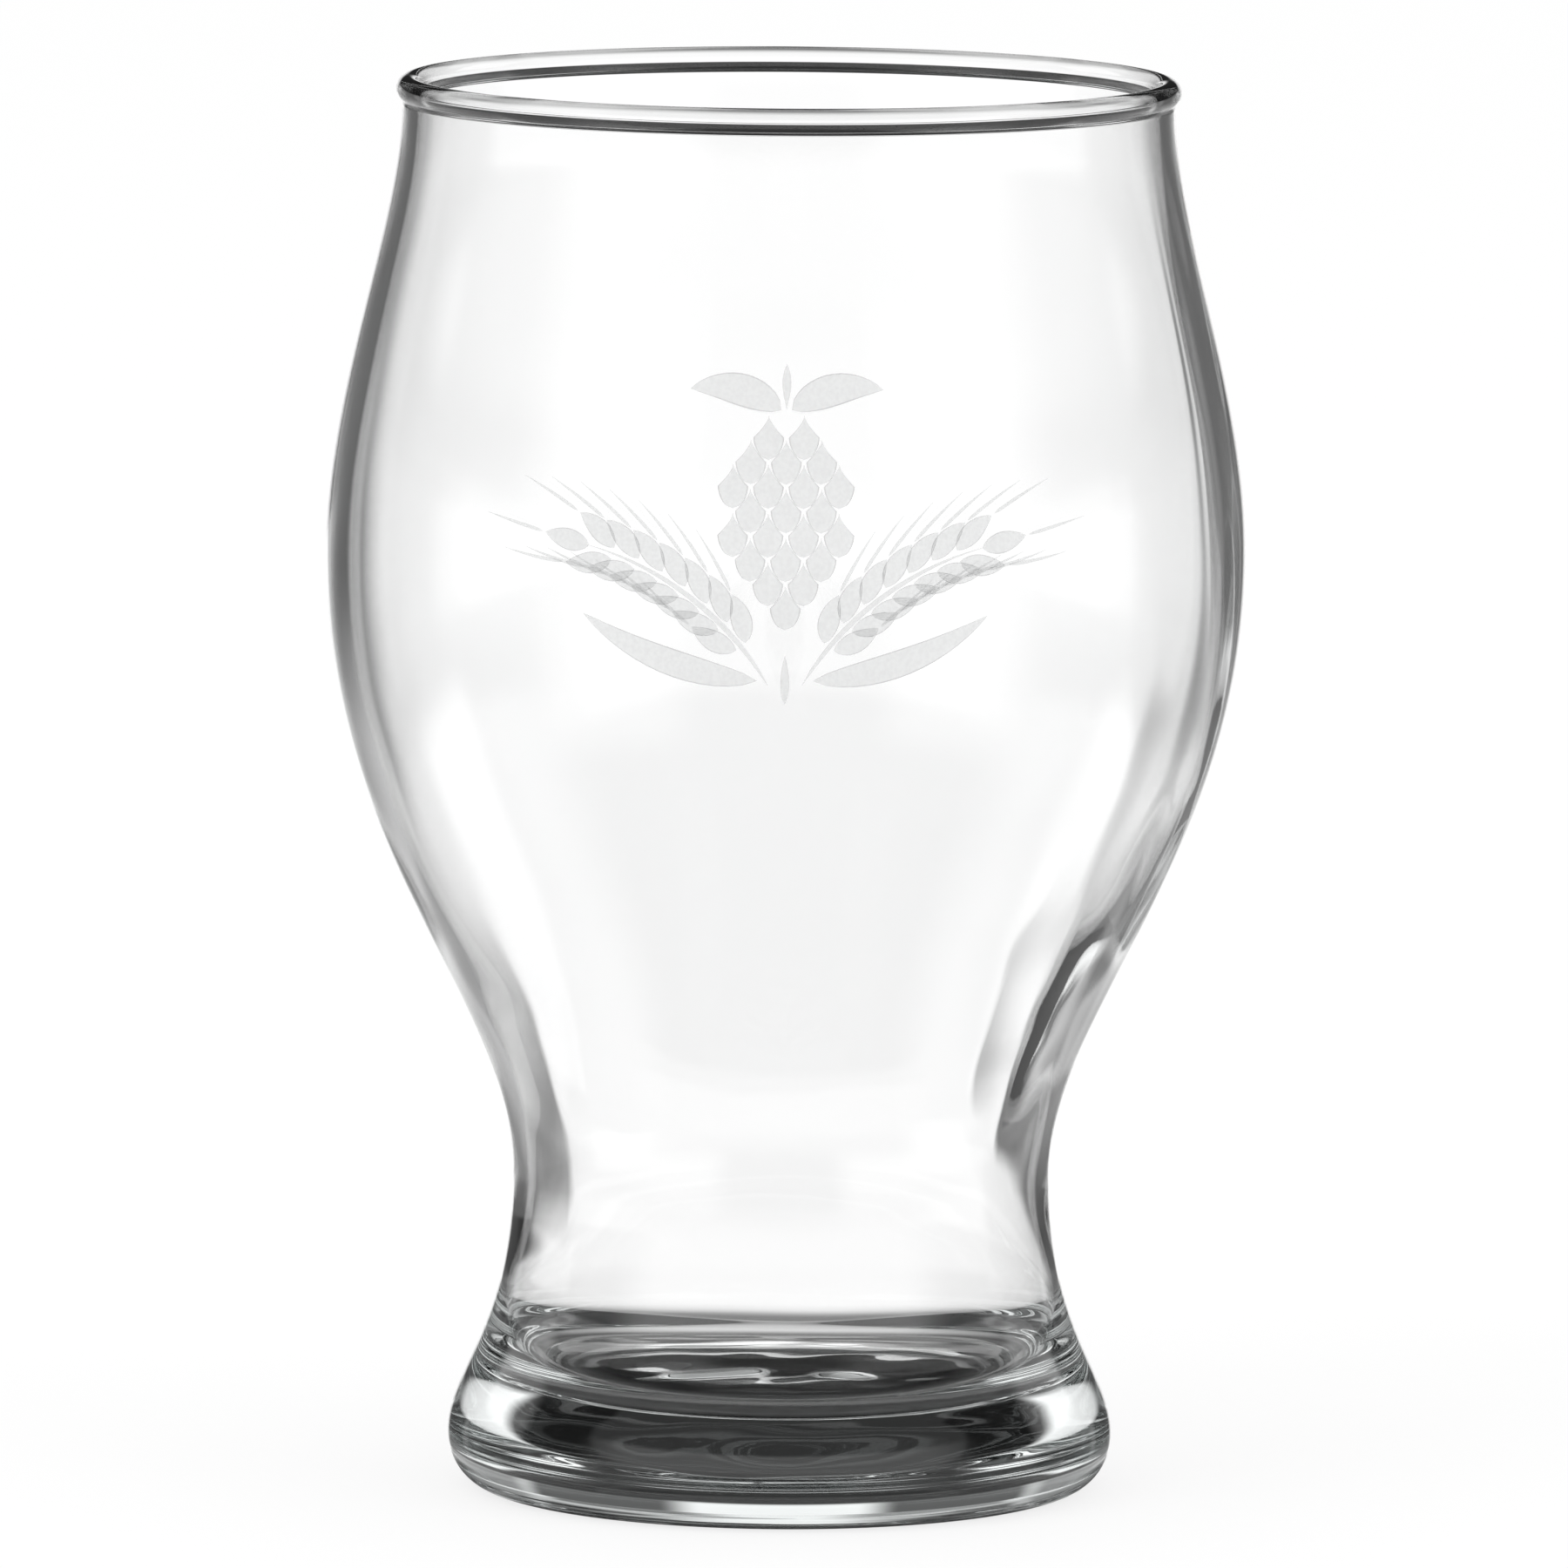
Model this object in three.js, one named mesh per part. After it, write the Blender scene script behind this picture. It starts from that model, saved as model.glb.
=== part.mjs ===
// A pilsner glass of clear soda-lime glass: a heavy foot, a drawn-in waist, a full bowl and a rounded lip.
// Millimetres, +Z up, with the origin at the centre of the face that the glass stands on.
// The real glass is one blown and pressed piece. Its zones are modelled as rings that meet face to face.
import * as THREE from "three";

// Outside of the glass
const HEIGHT = 135;
const FOOT_RADIUS = 31.75;
const FOOT_WIDEST_HEIGHT = 5.1;
const FOOT_EDGE_WIDTH = 4.2;
const WAIST_RADIUS = 25.6;
const WAIST_HEIGHT = 30;
const BELLY_RADIUS = 43.75;
const BELLY_HEIGHT = 89.8;
const NECK_RADIUS = 36.7;

// Underside: a flat ring to stand on, round a shallow dome
const BEARING_RING_WIDTH = 5.5;
const DOME_RISE = 0.8;

// Thickness of the glass, measured level
const FLOOR_THICKNESS = 9.8;
const WELL_WALL = 3.1;
const WELL_CORNER_RADIUS = 1.4;
const WAIST_WALL = 1.2;
const BELLY_WALL = 2.1;
const NECK_WALL = 1.5;

// Lip: a round bead that stands proud of the neck on both sides
const LIP_PROUD_OUTSIDE = 0.6;
const LIP_PROUD_INSIDE = 0.4;
const LIP_FILLET_RADIUS = 0.7;
const STRAIGHT_NECK = 0.3;

// How long each sweep of the outline stays upright at its two ends, as a share of its height
const FOOT_SWEEP = { start: 0.22, end: 0.6 };
const LOWER_BOWL_SWEEP = { start: 0.27, end: 0.49 };
const LOWER_BOWL_INSIDE_SWEEP = { start: 0.3, end: 0.49 };
const UPPER_BOWL_SWEEP = { start: 0.36, end: 0.25 };
const WELL_SWEEP = { start: 0.3, end: 0.4 };

// Fineness of the surfaces
const SEGMENTS_AROUND = 48;
const SWEEP_STEPS = 9;
const EDGE_STEPS = 5;
const DOME_STEPS = 3;
const BEAD_STEPS = 12;
const FILLET_STEPS = 2;

const QUARTER_TURN = Math.PI / 2;

const point = (radius, height) => new THREE.Vector2(radius, height);

// An S-shaped outline between two places where the wall stands upright
function sweep(low, high, shape) {
  const span = high.y - low.y;
  return new THREE.CubicBezierCurve(
    low,
    point(low.x, low.y + shape.start * span),
    point(high.x, high.y - shape.end * span),
    high,
  );
}

// Radius of a rising outline at a height, found by halving
function radiusAt(curve, height) {
  let low = 0;
  let high = 1;
  for (let i = 0; i < 40; i += 1) {
    const middle = (low + high) / 2;
    if (curve.getPoint(middle).y < height) low = middle;
    else high = middle;
  }
  return curve.getPoint(low).x;
}

// Points of an elliptical arc, angles from the outward direction
function arcPoints(centre, width, rise, from, to, steps) {
  const points = [];
  for (let i = 0; i <= steps; i += 1) {
    const angle = from + ((to - from) * i) / steps;
    points.push(point(centre.x + width * Math.cos(angle), centre.y + rise * Math.sin(angle)));
  }
  return points;
}

// Neighbouring stretches of an outline share their end points, which are kept once
function chain(...stretches) {
  const points = [];
  for (const next of stretches.flat()) {
    const last = points.at(-1);
    if (!last || last.distanceTo(next) > 1e-6) points.push(next);
  }
  return points;
}

const reversed = (points) => [...points].reverse();

// Lip: bead size and place follow from the neck's wall and how far the bead stands proud of it
const beadRadius = (NECK_WALL + LIP_PROUD_OUTSIDE + LIP_PROUD_INSIDE) / 2;
const beadCentre = point(NECK_RADIUS + LIP_PROUD_OUTSIDE - beadRadius, HEIGHT - beadRadius);

// How far in from a fillet's centre, and how far above it, the bead's centre lies
function filletOffset(proud) {
  const across = LIP_FILLET_RADIUS + beadRadius - proud;
  return { across, drop: Math.sqrt((LIP_FILLET_RADIUS + beadRadius) ** 2 - across ** 2) };
}

const outerFillet = filletOffset(LIP_PROUD_OUTSIDE);
const innerFillet = filletOffset(LIP_PROUD_INSIDE);
const neckHeight = beadCentre.y - Math.max(outerFillet.drop, innerFillet.drop) - STRAIGHT_NECK;

// Stations of the outside and of the inside, from the foot up
const footSide = point(FOOT_RADIUS, FOOT_WIDEST_HEIGHT);
const waistOutside = point(WAIST_RADIUS, WAIST_HEIGHT);
const bellyOutside = point(BELLY_RADIUS, BELLY_HEIGHT);
const neckOutside = point(NECK_RADIUS, neckHeight);
const waistInside = point(WAIST_RADIUS - WAIST_WALL, WAIST_HEIGHT);
const bellyInside = point(BELLY_RADIUS - BELLY_WALL, BELLY_HEIGHT);
const neckInside = point(NECK_RADIUS - NECK_WALL, neckHeight);

const footFlank = sweep(footSide, waistOutside, FOOT_SWEEP);
const wellHeight = FLOOR_THICKNESS + WELL_CORNER_RADIUS;
const wellSide = point(radiusAt(footFlank, wellHeight) - WELL_WALL, wellHeight);

// Foot: domed underside, rounded edge, flank up to the waist, then down the well to the inner floor
function footOutline() {
  const edgeCentre = point(FOOT_RADIUS - FOOT_EDGE_WIDTH, FOOT_WIDEST_HEIGHT);
  const domeRadius = edgeCentre.x - BEARING_RING_WIDTH;
  const dome = arcPoints(point(0, 0), domeRadius, DOME_RISE, QUARTER_TURN, 0, DOME_STEPS);
  dome[0].x = 0;
  const edge = arcPoints(edgeCentre, FOOT_EDGE_WIDTH, FOOT_WIDEST_HEIGHT, -QUARTER_TURN, 0, EDGE_STEPS);
  const well = sweep(wellSide, waistInside, WELL_SWEEP);
  const cornerCentre = point(wellSide.x - WELL_CORNER_RADIUS, wellHeight);
  const corner = arcPoints(
    cornerCentre, WELL_CORNER_RADIUS, WELL_CORNER_RADIUS, 0, -QUARTER_TURN, EDGE_STEPS,
  );
  return chain(
    dome,
    edge,
    footFlank.getPoints(SWEEP_STEPS),
    reversed(well.getPoints(SWEEP_STEPS)),
    corner,
    [point(0, FLOOR_THICKNESS)],
  );
}

// A ring of wall between two levels, closed on itself
function wallOutline(outside, inside) {
  const outer = outside.getPoints(SWEEP_STEPS);
  return chain(outer, reversed(inside.getPoints(SWEEP_STEPS)), [outer[0]]);
}

// Lip: up the neck, round the bead and down inside
function lipOutline() {
  const outerTurn = Math.atan2(outerFillet.drop, outerFillet.across);
  const innerTurn = Math.atan2(innerFillet.drop, innerFillet.across);
  const outerCentre = point(NECK_RADIUS + LIP_FILLET_RADIUS, beadCentre.y - outerFillet.drop);
  const innerCentre = point(neckInside.x - LIP_FILLET_RADIUS, beadCentre.y - innerFillet.drop);
  const fillet = LIP_FILLET_RADIUS;
  return chain(
    [neckOutside],
    arcPoints(outerCentre, fillet, fillet, Math.PI, Math.PI - outerTurn, FILLET_STEPS),
    arcPoints(beadCentre, beadRadius, beadRadius, -outerTurn, Math.PI + innerTurn, BEAD_STEPS),
    arcPoints(innerCentre, fillet, fillet, innerTurn, 0, FILLET_STEPS),
    [neckInside, neckOutside],
  );
}

const clearGlass = { color: 0xe9eeee, roughness: 0.04, metalness: 0, transparent: true, opacity: 0.4 };

// Turns an outline about the glass's upright axis
function turned(name, outline) {
  const geometry = new THREE.LatheGeometry(outline, SEGMENTS_AROUND);
  geometry.rotateX(QUARTER_TURN);
  const mesh = new THREE.Mesh(geometry, new THREE.MeshStandardMaterial(clearGlass));
  mesh.name = name;
  return mesh;
}

const glass = new THREE.Group();
glass.add(
  turned("foot", footOutline()),
  turned("lower_bowl", wallOutline(
    sweep(waistOutside, bellyOutside, LOWER_BOWL_SWEEP),
    sweep(waistInside, bellyInside, LOWER_BOWL_INSIDE_SWEEP),
  )),
  turned("upper_bowl", wallOutline(
    sweep(bellyOutside, neckOutside, UPPER_BOWL_SWEEP),
    sweep(bellyInside, neckInside, UPPER_BOWL_SWEEP),
  )),
  turned("lip", lipOutline()),
);

export default glass;
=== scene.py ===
"""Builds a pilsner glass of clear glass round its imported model, with a bright-field studio to show it in."""

import math

import bmesh
import bpy
from bpy.props import FloatProperty, FloatVectorProperty, IntProperty, PointerProperty
from mathutils import Matrix, Vector


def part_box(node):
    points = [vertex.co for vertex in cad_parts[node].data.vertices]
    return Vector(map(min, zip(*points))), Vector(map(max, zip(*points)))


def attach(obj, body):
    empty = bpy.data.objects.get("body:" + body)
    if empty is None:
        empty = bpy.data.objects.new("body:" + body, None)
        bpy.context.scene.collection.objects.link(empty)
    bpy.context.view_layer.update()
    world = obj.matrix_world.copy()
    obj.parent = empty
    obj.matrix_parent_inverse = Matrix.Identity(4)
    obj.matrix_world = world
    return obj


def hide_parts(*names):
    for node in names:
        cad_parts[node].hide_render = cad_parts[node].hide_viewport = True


bl_info = {
    "name": "Pilsner Glass",
    "version": (1, 0, 0),
    "blender": (4, 5, 0),
    "location": "3D View > Sidebar > Glass",
    "description": "Makes a footed beer glass with an etched spray of hops and barley, and a studio",
    "category": "Add Mesh",
}

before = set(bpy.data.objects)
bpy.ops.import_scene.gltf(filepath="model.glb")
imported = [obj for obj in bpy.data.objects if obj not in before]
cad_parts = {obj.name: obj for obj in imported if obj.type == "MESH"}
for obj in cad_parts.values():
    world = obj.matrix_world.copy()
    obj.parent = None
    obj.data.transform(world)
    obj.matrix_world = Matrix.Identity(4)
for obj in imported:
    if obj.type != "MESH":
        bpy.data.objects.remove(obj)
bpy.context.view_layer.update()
MILLIMETRE = 0.001
# A point this close to a level or to the axis lies on it
NEAR = 0.01 * MILLIMETRE
# Points this close together are one
SAME = 0.0001 * MILLIMETRE

# Photograph's width and focal length in pixels, and the width of the camera's sensor in millimetres
IMAGE_SIZE = 1800
FOCAL_PIXELS = 20713
SENSOR_WIDTH = 36.0


def radius_of(vertex):
    """Distance of a vertex from the glass's axis."""
    return math.hypot(vertex.co.x, vertex.co.y)


def level_radii(node, height):
    """Smallest and largest radius of a CAD node's points at one level."""
    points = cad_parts[node].data.vertices
    radii = [radius_of(v) for v in points if abs(v.co.z - height) < NEAR]
    return min(radii), max(radii)


# Levels and radii of the glass, read from the frame
GLASS_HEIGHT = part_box("lip")[1].z
WAIST_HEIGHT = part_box("lower_bowl")[0].z
BELLY_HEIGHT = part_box("upper_bowl")[0].z
NECK_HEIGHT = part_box("lip")[0].z
WAIST_INSIDE, WAIST_OUTSIDE = level_radii("lower_bowl", WAIST_HEIGHT)
BELLY_INSIDE, BELLY_OUTSIDE = level_radii("upper_bowl", BELLY_HEIGHT)
NECK_INSIDE, NECK_OUTSIDE = level_radii("lip", NECK_HEIGHT)
LIP_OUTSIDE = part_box("lip")[1].x
LIP_INSIDE = min(radius_of(v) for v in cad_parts["lip"].data.vertices)
FOOT_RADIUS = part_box("foot")[1].x
DOME_RADIUS, STANDING_RADIUS = level_radii("foot", 0.0)
FOOT_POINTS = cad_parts["foot"].data.vertices
FOOT_WIDEST_HEIGHT = max(FOOT_POINTS, key=radius_of).co.z
AXIS_LEVELS = [v.co.z for v in FOOT_POINTS if radius_of(v) < NEAR]
DOME_RISE = min(AXIS_LEVELS)
CAD_FLOOR_HEIGHT = max(AXIS_LEVELS)

# Rounded corners of the CAD model, which the frame doesn't name
CAD_WELL_CORNER = 1.4 * MILLIMETRE
LIP_FILLET = 0.7 * MILLIMETRE

# Well of the glass as seen: a rounder corner than the CAD's, and a floor that sinks towards its rim
WELL_RADIUS = level_radii("foot", CAD_FLOOR_HEIGHT + CAD_WELL_CORNER)[0]
FLOOR_SINK = 1.0 * MILLIMETRE
FLOOR_HEIGHT = CAD_FLOOR_HEIGHT - FLOOR_SINK
WELL_CORNER = 5.0 * MILLIMETRE
WELL_HEIGHT = FLOOR_HEIGHT + WELL_CORNER
FLOOR_RADIUS = WELL_RADIUS - WELL_CORNER

# How long each sweep of the outline stays upright at its lower and upper end, as shares of its height
FOOT_SWEEP = (0.22, 0.6)
LOWER_BOWL_SWEEP = (0.27, 0.49)
LOWER_BOWL_INSIDE_SWEEP = (0.3, 0.49)
UPPER_BOWL_SWEEP = (0.36, 0.25)
WELL_SWEEP = (0.3, 0.4)

# Waves that the settling glass leaves inside: turns round the glass, waves per metre of height, phase, share
WALL_WAVES = (
    (3, 14.0, 0.4, 0.30),
    (5, -37.0, 1.9, 0.25),
    (8, 61.0, 4.1, 0.20),
    (2, 96.0, 2.7, 0.15),
    (13, -22.0, 5.3, 0.10),
)
# How much stronger they are on the right, the levels over which they fade, and the share lost there
RIGHT_WAVES = 1.5
WAVES_FADE = (0.6 * BELLY_HEIGHT, BELLY_HEIGHT)
WAVES_LOST = 0.85
# Thick pads inside the lower bowl: angle from the right in degrees, share of the full height,
# levels in millimetres where the pad begins, is full, begins to fade and ends
PADS = (
    (180.0, 1.0, 18.0, 27.0, 46.0, 62.0),
    (0.0, 2.2, 27.0, 42.0, 49.0, 71.0),
)
# Half-width of a pad, widths of its ramp and of the skirt round it, in degrees, and the skirt's share
PAD_HALF_WIDTH = 38.0
PAD_RAMP = 15.0
PAD_SKIRT = 26.0
PAD_SKIRT_SHARE = 0.5
# Wander of the pads' edges: waves per metre of height, phase, degrees
PAD_WANDER = (
    (64.0, 1.0, 0.5),
    (157.0, 4.0, 0.2),
)
# Upright streaks inside the right wall, in the terms of the waves, and how sharply they keep to that side
STREAKS = (
    (17, 6.0, 0.8, 0.5),
    (27, -9.0, 3.1, 0.3),
    (11, 31.0, 5.0, 0.2),
)
STREAK_FOCUS = 3
# Levels over which the streaks begin and end
STREAKS_BEGIN = (1.6 * WAIST_HEIGHT, 2.2 * WAIST_HEIGHT)
STREAKS_END = (0.8 * NECK_HEIGHT, NECK_HEIGHT)
# Ripples of the inner floor: waves per metre across and along, phase, share
FLOOR_RIPPLES = (
    (6.0, 59.0, 5.7, 0.45),
    (-71.0, 90.0, 0.2, 0.20),
    (24.0, 151.0, 3.0, 0.20),
    (112.0, -58.0, 0.9, 0.15),
)
# Where the ripples fade and the floor's dome falls, as shares of the floor's radius
RIPPLES_FADE = (0.9, 1.0)
FLOOR_DOME_FALL = (0.45, 1.0)
# Waves of the domed underside, in the terms of the ripples
UNDERSIDE_WAVES = (
    (5.0, 50.0, 5.6, 0.7),
    (-75.0, 150.0, 4.4, 0.15),
    (120.0, 60.0, 6.1, 0.15),
)
# Where they fade, as shares of the dome's radius
UNDERSIDE_FADE = (0.6, 0.95)


def smooth_step(low, high, value):
    """0 below low, 1 above high and a smooth rise between."""
    t = min(1.0, max(0.0, (value - low) / (high - low)))
    return t * t * (3 - 2 * t)


def sweep(low, high, shape, steps):
    """Points of an S-shaped outline between two places where the wall stands upright."""
    span = high[1] - low[1]
    bends = (low, (low[0], low[1] + shape[0] * span), (high[0], high[1] - shape[1] * span), high)
    points = []
    for i in range(steps + 1):
        t = i / steps
        shares = ((1 - t) ** 3, 3 * (1 - t) ** 2 * t, 3 * (1 - t) * t * t, t ** 3)
        points.append(tuple(sum(s * b[axis] for s, b in zip(shares, bends)) for axis in (0, 1)))
    return points


def arc(centre, width, rise, start, end, steps):
    """Points of an elliptical arc, with angles from the outward direction."""
    points = []
    for i in range(steps + 1):
        angle = start + (end - start) * i / steps
        points.append((centre[0] + width * math.cos(angle), centre[1] + rise * math.sin(angle)))
    return points


def chain(*stretches):
    """One outline from stretches that share their end points."""
    points = []
    for stretch in stretches:
        for p in stretch:
            if not points or math.dist(points[-1], p) > SAME:
                points.append(p)
    return points


def lip_arcs(steps):
    """Outline of the lip: fillet out of the neck, round the bead and back into the wall inside."""
    bead = (LIP_OUTSIDE - LIP_INSIDE) / 2
    centre = ((LIP_OUTSIDE + LIP_INSIDE) / 2, GLASS_HEIGHT - bead)
    reach = bead + LIP_FILLET
    outer_centre = NECK_OUTSIDE + LIP_FILLET
    inner_centre = NECK_INSIDE - LIP_FILLET
    outer_turn = math.acos((outer_centre - centre[0]) / reach)
    inner_turn = math.acos((centre[0] - inner_centre) / reach)
    outer = (outer_centre, centre[1] - reach * math.sin(outer_turn))
    inner = (inner_centre, centre[1] - reach * math.sin(inner_turn))
    few = max(4, steps // 4)
    return (
        arc(outer, LIP_FILLET, LIP_FILLET, math.pi, math.pi - outer_turn, few),
        arc(centre, bead, bead, -outer_turn, math.pi + inner_turn, steps),
        arc(inner, LIP_FILLET, LIP_FILLET, inner_turn, 0.0, few),
    )


def outside_outline(steps):
    """Outline of the glass from the middle of its underside up to the neck."""
    quarter = math.pi / 2
    edge_centre = (STANDING_RADIUS, FOOT_WIDEST_HEIGHT)
    edge_width = FOOT_RADIUS - STANDING_RADIUS
    waist = (WAIST_OUTSIDE, WAIST_HEIGHT)
    belly = (BELLY_OUTSIDE, BELLY_HEIGHT)
    dome = []
    for i in range(steps // 2 + 1):
        share = i / (steps // 2)
        dome.append((DOME_RADIUS * share, DOME_RISE * (1 - smooth_step(0.0, 1.0, share))))
    return chain(
        dome,
        arc(edge_centre, edge_width, FOOT_WIDEST_HEIGHT, -quarter, 0.0, steps // 2),
        sweep((FOOT_RADIUS, FOOT_WIDEST_HEIGHT), waist, FOOT_SWEEP, steps),
        sweep(waist, belly, LOWER_BOWL_SWEEP, 2 * steps),
        sweep(belly, (NECK_OUTSIDE, NECK_HEIGHT), UPPER_BOWL_SWEEP, steps),
    )


def inside_outline(steps):
    """Outline of the hollow from the neck down to the middle of the inner floor."""
    quarter = math.pi / 2
    waist = (WAIST_INSIDE, WAIST_HEIGHT)
    belly = (BELLY_INSIDE, BELLY_HEIGHT)
    upper = sweep(belly, (NECK_INSIDE, NECK_HEIGHT), UPPER_BOWL_SWEEP, steps)
    lower = sweep(waist, belly, LOWER_BOWL_INSIDE_SWEEP, 2 * steps)
    well = sweep((WELL_RADIUS, WELL_HEIGHT), waist, WELL_SWEEP, steps)
    corner = arc((FLOOR_RADIUS, WELL_HEIGHT), WELL_CORNER, WELL_CORNER, 0.0, -quarter, steps // 3)
    floor = [(corner[-1][0] * (1 - i / steps), FLOOR_HEIGHT) for i in range(steps + 1)]
    return chain(upper[::-1], lower[::-1], well[::-1], corner, floor)


def pads(angle, height, settings):
    """How much thicker the wall is on the two sides of the lower bowl, where the glass settled."""
    level = height / MILLIMETRE
    width = PAD_HALF_WIDTH + sum(
        degrees * math.sin(math.tau * rate * height + phase) for rate, phase, degrees in PAD_WANDER
    )
    total = 0.0
    for centre, share, bottom, full, fade, top in PADS:
        turn = math.degrees(abs((angle - math.radians(centre) + math.pi) % math.tau - math.pi))
        into = min(1.0, max(0.0, (width - turn) / PAD_RAMP))
        skirt = 1 - smooth_step(width, width + PAD_SKIRT, turn)
        within = smooth_step(bottom, full, level) * (1 - smooth_step(fade, top, level))
        total += share * within * (into * (2 - into) + PAD_SKIRT_SHARE * skirt)
    return settings.pads * total


def round_waves(angle, height, waves):
    """Sum of waves that run round the wall and up it."""
    return sum(
        share * math.sin(turns * angle + math.tau * rate * height + phase)
        for turns, rate, phase, share in waves
    )


def wall_wave(angle, height, settings):
    """How much thicker the wall is at a point than its outline says."""
    rise = smooth_step(WELL_HEIGHT, WAIST_HEIGHT, height)
    fade = 1 - WAVES_LOST * smooth_step(*WAVES_FADE, height)
    right = max(0.0, math.cos(angle))
    strength = settings.wall_waves * (1 + RIGHT_WAVES * right)
    waves = rise * fade * strength * round_waves(angle, height, WALL_WAVES)
    streaks = round_waves(angle, height, STREAKS)
    streaks *= smooth_step(*STREAKS_BEGIN, height)
    streaks *= 1 - smooth_step(*STREAKS_END, height)
    streaks *= settings.streaks * right ** STREAK_FOCUS
    return waves + streaks + pads(angle, height, settings)


def ripple(x, y, waves):
    """Sum of plane waves at a point of a level surface."""
    return sum(
        share * math.sin(math.tau * (across * x + along * y) + phase)
        for across, along, phase, share in waves
    )


def floor_ripple(x, y, settings):
    """How much higher the inner floor is at a point than its outline says."""
    reach = math.hypot(x, y) / FLOOR_RADIUS
    ripples = settings.floor_ripples * ripple(x, y, FLOOR_RIPPLES)
    dome = settings.floor_dome * (1 - smooth_step(*FLOOR_DOME_FALL, reach))
    return (1 - smooth_step(*RIPPLES_FADE, reach)) * ripples + dome


def underside_wave(x, y, settings):
    """How much higher the domed underside is at a point than its outline says."""
    fade = 1 - smooth_step(*UNDERSIDE_FADE, math.hypot(x, y) / DOME_RADIUS)
    return fade * settings.underside_waves * ripple(x, y, UNDERSIDE_WAVES)


def wavy_point(radius, height, angle, inside, settings):
    """Point of the turned outline, moved by the unevenness of the glass."""
    x = radius * math.cos(angle)
    y = radius * math.sin(angle)
    if inside and height > FLOOR_HEIGHT + SAME:
        radius -= wall_wave(angle, height, settings)
        return radius * math.cos(angle), radius * math.sin(angle), height
    if inside:
        return x, y, height + floor_ripple(x, y, settings)
    if height <= DOME_RISE and radius < DOME_RADIUS:
        return x, y, height + underside_wave(x, y, settings)
    return x, y, height


def turn_outline(name, outline, inside_from, settings):
    """Mesh of an outline turned about the upright axis, with the glass's waves in its inner side."""
    shape = bmesh.new()
    count = settings.segments
    rings = []
    for index, (radius, height) in enumerate(outline):
        inside = index >= inside_from
        ring = []
        for i in range(1 if radius < SAME else count):
            angle = math.tau * i / count
            ring.append(shape.verts.new(wavy_point(radius, height, angle, inside, settings)))
        rings.append(ring)
    for low, high in zip(rings, rings[1:]):
        for i in range(count):
            j = (i + 1) % count
            if len(low) == 1:
                shape.faces.new((low[0], high[j], high[i]))
            elif len(high) == 1:
                shape.faces.new((low[i], low[j], high[0]))
            else:
                shape.faces.new((low[i], low[j], high[j], high[i]))
    bmesh.ops.recalc_face_normals(shape, faces=shape.faces)
    mesh = bpy.data.meshes.new(name)
    shape.to_mesh(mesh)
    shape.free()
    mesh.polygons.foreach_set("use_smooth", [True] * len(mesh.polygons))
    return mesh


# Etched spray, a hop cone between two ears of barley: height of its middle, and its lift off the glass
SPRAY_HEIGHT = 94.5 * MILLIMETRE
FROST_LIFT = 0.02 * MILLIMETRE
# Shapes of the spray: least half-width in millimetres, and a power below 1 that fills out their ends
LEAST_HALF_WIDTH = 0.02
BLADE_POWER = 0.8
# Points across a shape: share of its half-width, and 1 on the rim or 0 within
ACROSS_SHAPE = ((-1.0, 1.0), (-0.82, 0.0), (0.0, 0.0), (0.82, 0.0), (1.0, 1.0))
# Stalk of the right ear: millimetres from the spray's middle, length, headings at both ends in degrees
EAR_ROOT = (1.6, -12.6)
EAR_LENGTH = 22.0
EAR_HEADINGS = (60.0, 12.0)
# Grains: pairs, share of the stalk without them, degrees and millimetres off the stalk, and bend for each
# degree off the stalk
GRAIN_PAIRS = 7
BARE_STALK = 0.2
GRAIN_SPREAD = 34.0
GRAIN_SHIFT = 0.55
GRAIN_BEND = -0.6
# Bristles: millimetres off the grain's tip, and bend for each degree of the grain off the stalk
BRISTLE_GAP = 0.35
BRISTLE_BEND = -0.25
# Hop cone in millimetres: scales in each row, top of the first row, pitches, gap between scales
HOP_ROWS = (2, 3, 4, 3, 4, 3, 2, 1)
HOP_TOP = 12.4
HOP_ROW_PITCH = 2.25
HOP_COLUMN_PITCH = 3.3
HOP_GAP = 0.45
# How hollow the shoulders of a scale are, and how full its tip
HOP_SHOULDER_POWER = 1.5
HOP_TIP_POWER = 1.7


def along(start, heading, bend, length, share):
    """Point and heading part of the way along an arc, with angles in degrees."""
    steps = 24
    x, y = start
    for i in range(steps):
        turn = heading + bend * share * (i + 0.5) / steps
        x += length * share / steps * math.cos(math.radians(turn))
        y += length * share / steps * math.sin(math.radians(turn))
    return (x, y), heading + bend * share


def blade(start, heading, bend, length, width, fullness, steps=14):
    """Spine points and half-widths of a leaf-like shape; fullness below 1 moves its belly to the root."""
    rows = []
    for i in range(steps + 1):
        share = i / steps
        point, turn = along(start, heading, bend, length, share)
        half = 0.5 * width * math.sin(math.pi * share ** fullness) ** BLADE_POWER
        rows.append((point, turn, max(half, LEAST_HALF_WIDTH)))
    return rows


def hop_scale(x, top, steps=14):
    """Spine points and half-widths of one scale of the hop cone: hollow shoulders over a rounded tip."""
    height = 2 * HOP_ROW_PITCH - HOP_GAP
    widest = 0.5 * (HOP_COLUMN_PITCH - HOP_GAP)
    rows = []
    for i in range(steps + 1):
        share = i / steps
        if share < 0.5:
            half = widest * (2 * share) ** HOP_SHOULDER_POWER
        else:
            half = widest * math.sqrt(1 - (2 * share - 1) ** HOP_TIP_POWER)
        rows.append(((x, top - share * height), -90.0, max(half, LEAST_HALF_WIDTH)))
    return rows


def mirrored(rows):
    """The same shape on the other side of the spray's middle."""
    return [((-x, y), 180.0 - turn, half) for (x, y), turn, half in rows]


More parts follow.
